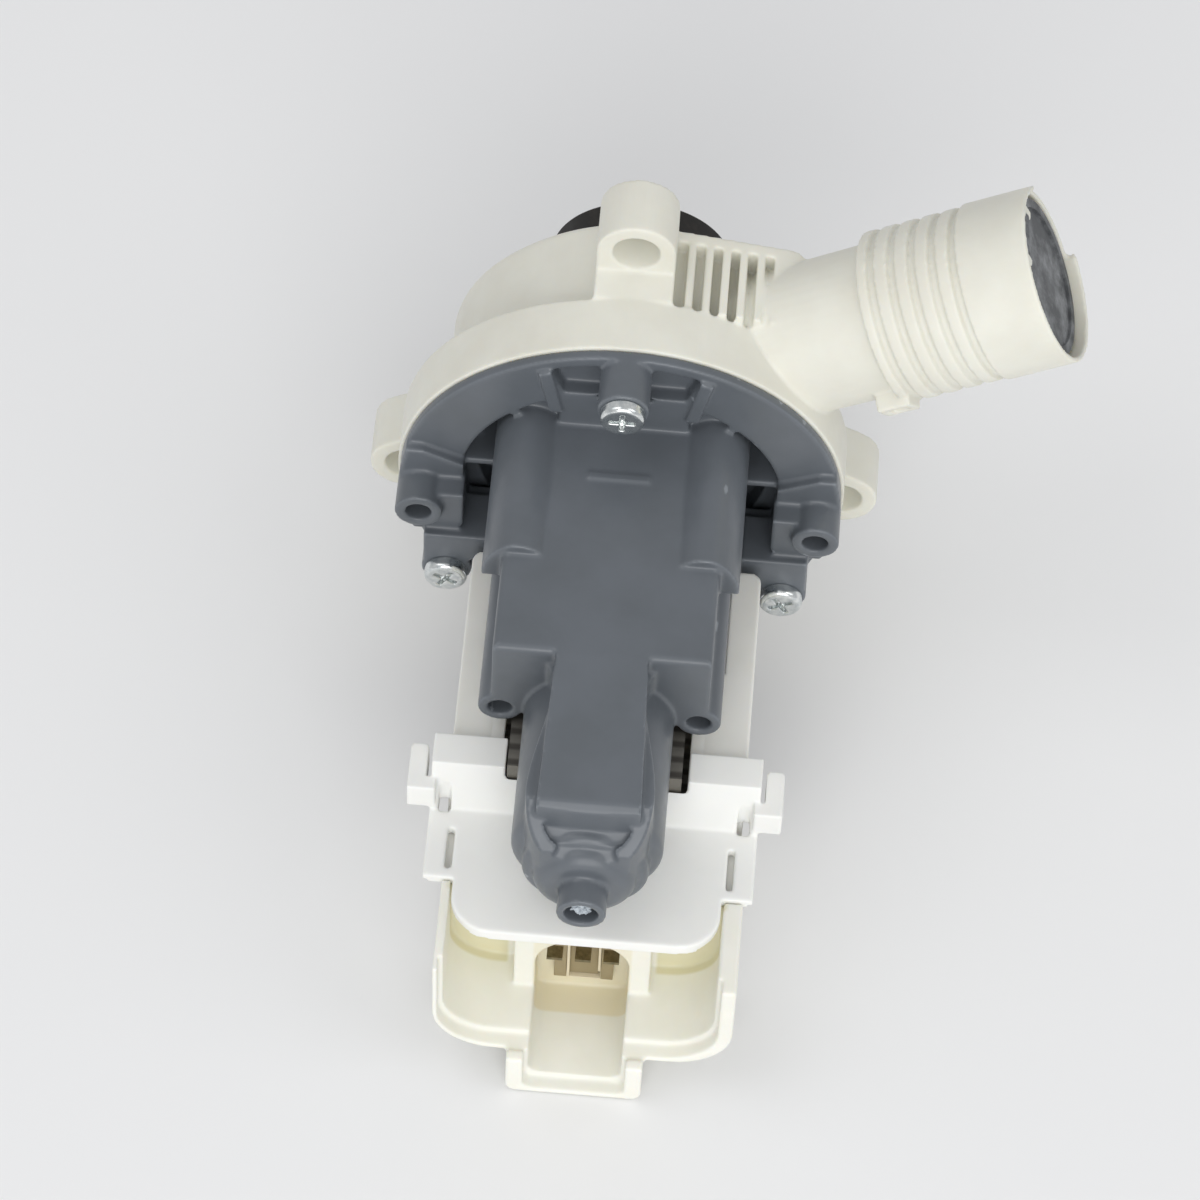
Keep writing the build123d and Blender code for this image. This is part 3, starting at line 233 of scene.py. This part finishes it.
def bump(tree, shader, height, depth_mm, strength):
    """Lets height stand out by depth_mm on the shader's normal."""
    node = tree.nodes.new("ShaderNodeBump")
    node.inputs["Strength"].default_value = strength
    node.inputs["Distance"].default_value = depth_mm * mm
    tree.links.new(height, node.inputs["Height"])
    tree.links.new(node.outputs["Normal"], shader.inputs["Normal"])


print("made three helpers: ramp, remap and bump")

# %% [markdown]
# ## Painted shade and painted edge highlights
# Two things are painted over a plastic's plain colour. In the socket, shade is painted into the ivory
# plastic, which turns darker and yellower where little light reaches it, and a highlight is painted on
# the grey housing's outer edges, which turn paler. The painted shade fills a box with soft sides, which
# is six ranges along X, Y and Z, multiplied. The painted highlight reads Pointiness, which tells how
# sharply the mesh turns outwards, so no picture has to be drawn for it.

# %% Painted shade and painted edge highlights
# Painted highlight on outer edges: the pointiness where it starts and where it is full, and its most share.
highlight_starts, highlight_is_full, most_highlight = 0.53, 0.6, 0.5


def tint(tree, shader, share, colour):
    """Mixes colour over what feeds the shader's colour, by share."""
    mix = tree.nodes.new("ShaderNodeMix")
    mix.data_type = "RGBA"
    old = shader.inputs["Base Color"].links[0].from_socket
    tree.links.new(share, mix.inputs["Factor"])
    tree.links.new(old, mix.inputs["A"])
    mix.inputs["B"].default_value = colour
    tree.links.new(mix.outputs["Result"], shader.inputs["Base Color"])


def painted_shade_box(tree, shader, place, low, high, soft, colour):
    """Paints shade into the shader's colour: tints it inside a box given in mm, with edges soft mm wide."""
    split = tree.nodes.new("ShaderNodeSeparateXYZ")
    tree.links.new(place, split.inputs["Vector"])
    share = None
    for axis, start, end in zip("XYZ", low, high):
        for edge, sign in ((start, 1), (end, -1)):
            inside = remap(tree, split.outputs[axis],
                           (edge - sign * soft) * mm, (edge + sign * soft) * mm, 0, 1)
            if share is None:
                share = inside
                continue
            product = tree.nodes.new("ShaderNodeMath")
            product.operation = "MULTIPLY"
            tree.links.new(share, product.inputs[0])
            tree.links.new(inside, product.inputs[1])
            share = product.outputs["Value"]
    tint(tree, shader, share, colour)


def painted_edge_highlight(tree, shader, colour):
    """Paints a highlight: lets the shader's colour turn paler on outer edges."""
    shape = tree.nodes.new("ShaderNodeNewGeometry")
    tint(tree, shader, remap(tree, shape.outputs["Pointiness"], highlight_starts, highlight_is_full, 0, most_highlight),
         colour)


# The wear printed here is a painted highlight on edges.
print("edges wear from a pointiness of", highlight_starts, "and by", most_highlight, "at most")

# %% [markdown]
# ## Moulded plastics
# Five plastics show: a cream one, a blue-grey one, an off-white, an ivory and a bright white. A broad noise
# shifts the colour a little, as dust and handling do, a fine noise gives the faint grain of the mould as
# bump, and a third varies the gloss. The pale ones let a little light in, as a thin wall does.

# %% Plastic finish
grain_mm, grain_depth = 0.35, 0.012
sheen_mm = 3.1
light_reach = 1.6


def plastic(name, colour, shade, gloss, cloud_mm=14.0, glow=0.0, painted_shades=(), edge_highlight=None):
    """A moulded plastic: colour, the shade its clouds drift to, and the range of its roughness."""
    made, tree, shader, place = new_finish(name)
    clouds = noise(tree, place, cloud_mm, 4.0)
    tree.links.new(ramp(tree, clouds, 0.36, 0.66, colour, shade), shader.inputs["Base Color"])
    sheen = noise(tree, place, sheen_mm)
    tree.links.new(remap(tree, sheen, 0.3, 0.7, *gloss), shader.inputs["Roughness"])
    bump(tree, shader, noise(tree, place, grain_mm, 2.0), grain_depth, 0.6)
    # The boxes paint shade into the colour, and the edge colour paints a highlight on outer edges.
    for painted_shade in painted_shades:
        painted_shade_box(tree, shader, place, *painted_shade)
    if edge_highlight:
        painted_edge_highlight(tree, shader, edge_highlight)
    if glow:
        shader.inputs["Subsurface Weight"].default_value = glow
        shader.inputs["Subsurface Radius"].default_value = (1.0, 0.8, 0.55)
        shader.inputs["Subsurface Scale"].default_value = light_reach * mm
    return made


print("grain", grain_mm, "mm wide stands out by", grain_depth, "mm")

# %% Plastics
cream = plastic("cream_plastic", srgb(228, 227, 216), srgb(222, 220, 208), (0.42, 0.52), glow=0.25)
# The blue-grey's paler outer edges are a painted highlight.
blue_grey = plastic("blue_grey_plastic", srgb(99, 104, 110), srgb(93, 98, 103), (0.28, 0.38),
                    edge_highlight=srgb(160, 166, 172))
off_white = plastic("off_white_plastic", srgb(240, 239, 233), srgb(235, 234, 227), (0.4, 0.5), glow=0.15)

# Each painted shade is a box's low and high corner in mm, the width of its soft sides, and its colour.
barrel_shade = ((-8.2, -108.7, -50.2), (9.0, -90, -23), 0.25, srgb(232, 225, 200))
left_shade = ((-24, -104.4, -50), (-13, -90, -16), 0.3, srgb(224, 219, 188))
right_shade = ((13.4, -104.4, -50), (25, -90, -16), 0.3, srgb(224, 219, 188))
ivory = plastic("ivory_plastic", srgb(243, 242, 233), srgb(238, 237, 226), (0.4, 0.5), glow=0.3,
                painted_shades=(left_shade, right_shade, barrel_shade))
bright_white = plastic("bright_white_plastic", srgb(244, 244, 240), srgb(240, 240, 236), (0.38, 0.46),
                       glow=0.1)
black_plastic = plastic("black_plastic", srgb(34, 34, 36), srgb(28, 28, 30), (0.38, 0.5))
bobbin_plastic = plastic("bobbin_plastic", srgb(214, 210, 196), srgb(204, 200, 186), (0.45, 0.55))
print("plastics:", [made.name for made in (cream, blue_grey, off_white, ivory, bright_white,
                                           black_plastic, bobbin_plastic)])

# %% [markdown]
# ## Rubber
# The inlet sleeve is black and matt with a little dust in its pores. The flap behind the outlet's mouth has
# a chalky bloom: pale streaks over dark rubber. One noise gives both the streaks and the gloss, so that
# the bloom is also the duller part.

# %% Rubber finishes
pore_mm, pore_depth = 0.5, 0.02


def rubber(name, colour, bloom, low, high, size_mm):
    """Matt rubber with a paler bloom where the noise is high."""
    made, tree, shader, place = new_finish(name)
    streaks = noise(tree, place, size_mm, 8.0, 0.7)
    tree.links.new(ramp(tree, streaks, low, high, colour, bloom), shader.inputs["Base Color"])
    tree.links.new(remap(tree, streaks, 0.3, 0.7, 0.55, 0.75), shader.inputs["Roughness"])
    bump(tree, shader, noise(tree, place, pore_mm), pore_depth, 0.6)
    shader.inputs["Specular IOR Level"].default_value = 0.35
    return made


black_rubber = rubber("black_rubber", srgb(36, 34, 32), srgb(62, 58, 54), 0.5, 0.75, 6.0)
flap_rubber = rubber("flap_rubber", srgb(84, 86, 88), srgb(158, 160, 162), 0.42, 0.72, 7.0)
print("rubbers:", [made.name for made in (black_rubber, flap_rubber)])

# %% [markdown]
# ## Metals
# The screws are zinc plated: bright, slightly uneven. The shaft and the flap's pin are ground steel, the
# bearings are bronze, the magnet is ferrite and the terminals are dull brass. They differ only in colour,
# in gloss and in the size of their patches, so one function makes them all.

# %% Metal finishes
def metal(name, colour, shade, gloss, size_mm=1.2):
    """A bare or plated metal with uneven gloss."""
    made, tree, shader, place = new_finish(name)
    patches = noise(tree, place, size_mm, 5.0, 0.6)
    tree.links.new(ramp(tree, patches, 0.35, 0.7, colour, shade), shader.inputs["Base Color"])
    tree.links.new(remap(tree, patches, 0.3, 0.7, *gloss), shader.inputs["Roughness"])
    bump(tree, shader, patches, 0.015, 0.5)
    shader.inputs["Metallic"].default_value = 1.0
    return made


zinc = metal("bright_zinc", srgb(240, 242, 240), srgb(196, 202, 204), (0.14, 0.3))
steel = metal("ground_steel", srgb(190, 190, 188), srgb(165, 165, 163), (0.2, 0.35))
brass = metal("dull_brass", srgb(150, 140, 112), srgb(120, 110, 86), (0.3, 0.5))
bronze = metal("sintered_bronze", srgb(158, 124, 78), srgb(120, 92, 58), (0.45, 0.65), 0.3)
ferrite = metal("ground_ferrite", srgb(70, 70, 72), srgb(50, 50, 52), (0.5, 0.7), 0.5)
print("metals:", [made.name for made in (zinc, steel, brass, bronze, ferrite)])

# %% [markdown]
# ## Core and coils
# The stator's core is dark varnished steel in thin sheets, stacked along the pump's axis, and the coils are
# enamelled wire, wound turn on turn. As pieces they would be hundreds, and in the photograph only the
# core's edges show, in two narrow slots. So one Wave texture does for each: it colours the bands and
# raises them. The bands lie wider apart than real sheets and wires do.

# %% Banded finishes
def banded(name, axis, wave_mm, wobble, dark, pale, ramp_end, ridge, metallic, gloss):
    """Metal in bands along an axis, 2 pi wave_mm apart, because the Wave texture counts in radians."""
    made, tree, shader, place = new_finish(name)
    bands = tree.nodes.new("ShaderNodeTexWave")
    bands.bands_direction = axis
    bands.inputs["Scale"].default_value = 1 / (20 * wave_mm * mm)
    bands.inputs["Distortion"].default_value = wobble
    tree.links.new(place, bands.inputs["Vector"])
    height = bands.outputs["Fac"]
    tree.links.new(ramp(tree, height, 0.1, ramp_end, dark, pale), shader.inputs["Base Color"])
    bump(tree, shader, height, *ridge)
    shader.inputs["Metallic"].default_value = metallic
    shader.inputs["Roughness"].default_value = gloss
    print(name, "has a band every", round(2 * pi * wave_mm, 1), "mm")
    return made


core_steel = banded("laminated_steel", "Y", 0.5, 0.4, srgb(96, 92, 86), srgb(140, 136, 128), 0.6,
                    (0.05, 0.7), 0.8, 0.45)
enamelled_wire = banded("enamelled_wire", "Z", 0.25, 0.6, srgb(86, 40, 20), srgb(170, 92, 52), 0.7,
                        (0.08, 0.8), 0.6, 0.35)

# %% [markdown]
# ## A finish for every node
# Each CAD node gets its finish by its name. The hidden ones get theirs too, because the model is also
# looked at with its covers off. A plain table is the easiest form to check against the list of pieces.

# %% Give each node its finish
finish_of = {
    "volute_housing": cream, "motor_housing": blue_grey, "flange_screws": zinc,
    "body_seal_ring": black_rubber, "inlet_seal": black_rubber, "outlet_flap": flap_rubber,
    "flap_pin": steel, "bearing_holder": black_plastic, "front_bearing": bronze, "rear_bearing": bronze,
    "front_grommet": black_rubber, "rear_grommet": black_rubber, "shaft_seal": black_rubber,
    "front_thrust_washer": bobbin_plastic, "rear_thrust_washer": bobbin_plastic, "rotor_shaft": steel,
    "rotor_sleeve": black_plastic, "rotor_magnet": ferrite, "drive_dog": black_rubber,
    "impeller": black_plastic, "stator_core": core_steel, "left_bobbin": bobbin_plastic,
    "right_bobbin": bobbin_plastic, "left_coil": enamelled_wire, "right_coil": enamelled_wire,
    "thermal_protector": black_plastic, "coil_cover": off_white, "connector_housing": ivory,
    "terminal_pins": brass, "terminal_guard": bright_white,
}
for node_name, node in nodes.items():
    node.data.materials.clear()
    node.data.materials.append(finish_of[node_name])
print("finished nodes:", len(finish_of))

# %% [markdown]
# ## Softened mouldings
# A moulded part has no knife edge: the steel it was cast in is worn and polished, and thick walls sink a
# little as they cool. A bevel could round the edges, but stops wherever many short ones meet. So each
# visible moulding is copied from its CAD node, rebuilt from small cells and relaxed, which rounds every
# inner and outer edge by the same small amount. The copy keeps the node's place and stands for it. The
# screws are rounded in the same way, from smaller cells.

# %% Softened copies
body_of = {node: body for body, members in frame["record"]["behaviour"]["bodies"].items()
           for node in members}
weld_reach = 0.002 * mm


def welded(name):
    """The node's mesh, copied and joined along its faces' shared edges."""
    mesh = nodes[name].data.copy()
    bm = bmesh.new()
    bm.from_mesh(mesh)
    bmesh.ops.remove_doubles(bm, verts=bm.verts, dist=weld_reach)
    bmesh.ops.recalc_face_normals(bm, faces=bm.faces)
    bm.to_mesh(mesh)
    bm.free()
    return mesh


def softened(name, cell_mm, share, rounds):
    """A copy of a node with all its edges rounded, that stands for the node."""
    piece = bpy.data.objects.new("soft_" + name, welded(name))
    scene.collection.objects.link(piece)
    cells = piece.modifiers.new("cells", "REMESH")
    cells.mode = "VOXEL"
    cells.voxel_size = cell_mm * mm
    cells.use_smooth_shade = True
    relax = piece.modifiers.new("relax", "SMOOTH")
    relax.factor = 0.5
    relax.iterations = rounds
    thin = piece.modifiers.new("thin", "DECIMATE")
    thin.ratio = share
    made = bpy.data.meshes.new_from_object(piece.evaluated_get(bpy.context.evaluated_depsgraph_get()))
    piece.modifiers.clear()
    piece.data = made
    made.materials.clear()
    made.materials.append(finish_of[name])
    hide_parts(name)
    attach(piece, body_of[name])
    made.calc_loop_triangles()
    print(piece.name, len(made.loop_triangles), "triangles")


# For each node: its cells' size in mm, the share of triangles that is kept, and the rounds of smoothing.
to_soften = {
    "volute_housing": (0.35, 0.22, 4), "motor_housing": (0.35, 0.27, 4), "coil_cover": (0.35, 0.3, 4),
    "connector_housing": (0.35, 0.35, 4), "terminal_guard": (0.3, 0.4, 4), "flange_screws": (0.14, 0.3, 3),
}
for node_name, settings in to_soften.items():
    softened(node_name, *settings)

# %% [markdown]
# ## Lips beside the canister
# Each arm of the coil box reaches inwards over the steel core and leaves only a narrow slot beside the
# canister. The lip is a thin flat bar that is level with the arm's top and grows out of its inner edge. It
# starts as a unit cube, which one matrix sizes and places, and a bevel then rounds all its edges.

# %% Cover lips
def bars(name, spans, round_mm, paint, body):
    """Bars given by their low and high corners in mm, with all edges rounded, as one piece."""
    bm = bmesh.new()
    for low, high in spans:
        low, high = Vector(low) * mm, Vector(high) * mm
        size_and_place = Matrix.Translation((low + high) / 2) @ Matrix.Diagonal((*(high - low), 1))
        bmesh.ops.create_cube(bm, size=1.0, matrix=size_and_place)
    bmesh.ops.bevel(bm, geom=bm.edges, offset=round_mm * mm, segments=3, profile=0.5, affect="EDGES",
                    material=-1)
    bmesh.ops.recalc_face_normals(bm, faces=bm.faces)
    piece = as_object(name, bm, paint)
    faces = piece.data.polygons
    faces.foreach_set("use_smooth", [True] * len(faces))
    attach(piece, body)
    print(name, "has", len(faces), "faces")


deck_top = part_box("coil_cover")[1][2] / mm
lip_under = deck_top - 1.6
lip_inner, lip_outer = 16.3, 18.9
lip_back, lip_front = -79.3, -70.5
bars("cover_lips", [((-lip_outer, lip_back, lip_under), (-lip_inner, lip_front, deck_top)),
                    ((lip_inner, lip_back, lip_under), (lip_outer, lip_front, deck_top))],
     0.3, off_white, "pump")
print("deck top at", round(deck_top, 2))

# %% [markdown]
# ## Contacts in the socket's throat
# Deep in the socket, under the arch, the plug meets a small block: two columns stand either side of the
# middle terminal, with a thin panel between them, and pale yellow lips run beside them and along their
# foot. The columns and the panel are painted dark brown as shade. All are short bars with rounded edges,
# set against the end wall where the terminals come through.
# A hair of air is left behind them, so that no two faces share a plane.

# %% Contact block
end_wall = 1.6
seat_gap = 0.05
throat_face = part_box("coil_cover")[0][1] / mm - end_wall
seat = throat_face - seat_gap
column_face, panel_face = throat_face - 1.5, throat_face - 0.5
side_lip_face, foot_lip_face = throat_face - 1.7, throat_face - 1.3
foot, column_head, lip_head = -44.2, -25, -26
# Painted shade: the columns and the panel are dark brown where the throat lies in shade.
column_shade_paint = plastic("shaded_column_plastic", srgb(166, 152, 120), srgb(150, 136, 104), (0.5, 0.6))
lip_paint = plastic("pale_lip_plastic", srgb(236, 226, 200), srgb(226, 214, 186), (0.4, 0.5))
bars("contact_columns", [((-4.7, column_face, foot), (-2.5, seat, column_head)),
                         ((3.6, column_face, foot), (5.8, seat, column_head)),
                         ((-2.0, panel_face, foot), (3.2, seat, column_head))],
     0.15, column_shade_paint, "pump")
bars("contact_lips", [((-2.45, side_lip_face, -44.0), (-1.95, seat, lip_head)),
                      ((3.1, side_lip_face, -41.0), (3.55, seat, lip_head)),
                      ((-2.4, foot_lip_face, -44.6), (3.5, seat, -44.25))],
     0.08, lip_paint, "pump")
print("throat face at", round(throat_face, 2))

# %% [markdown]
# ## Gate stub
# Where the grey plastic entered the mould, in the bore of the rear tail, a torn stub is left. It is a lump
# pulled out of a small ball, with every point pushed by a fixed noise so that its edge looks torn. The
# noise has no seed that changes, so the stub is the same on each run.

# %% Gate stub
stub_radius, stub_squash, stub_depth, stub_height = 1.6, 0.6, 1.5, 0.6
pushes = ((2.2, 0.55), (6.0, 0.35))  # how dense each noise is, and how far it pushes
tail_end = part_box("motor_housing")[0][1] / mm
stub_place = Vector((0.0, tail_end + stub_depth, stub_height))
bm = bmesh.new()
bmesh.ops.create_icosphere(bm, subdivisions=4, radius=stub_radius)
for vert in bm.verts:
    vert.co *= 1 + sum(lattice.noise(vert.co * density) * reach for density, reach in pushes)
    vert.co.y *= stub_squash
    vert.co = (vert.co + stub_place) * mm
torn_plastic = plastic("torn_plastic", srgb(196, 204, 210), srgb(150, 158, 166), (0.3, 0.4), cloud_mm=0.8)
piece = as_object("gate_stub", bm, torn_plastic)
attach(piece, "pump")
print("gate stub at", [round(part, 1) for part in stub_place], "with", len(piece.data.polygons), "faces")
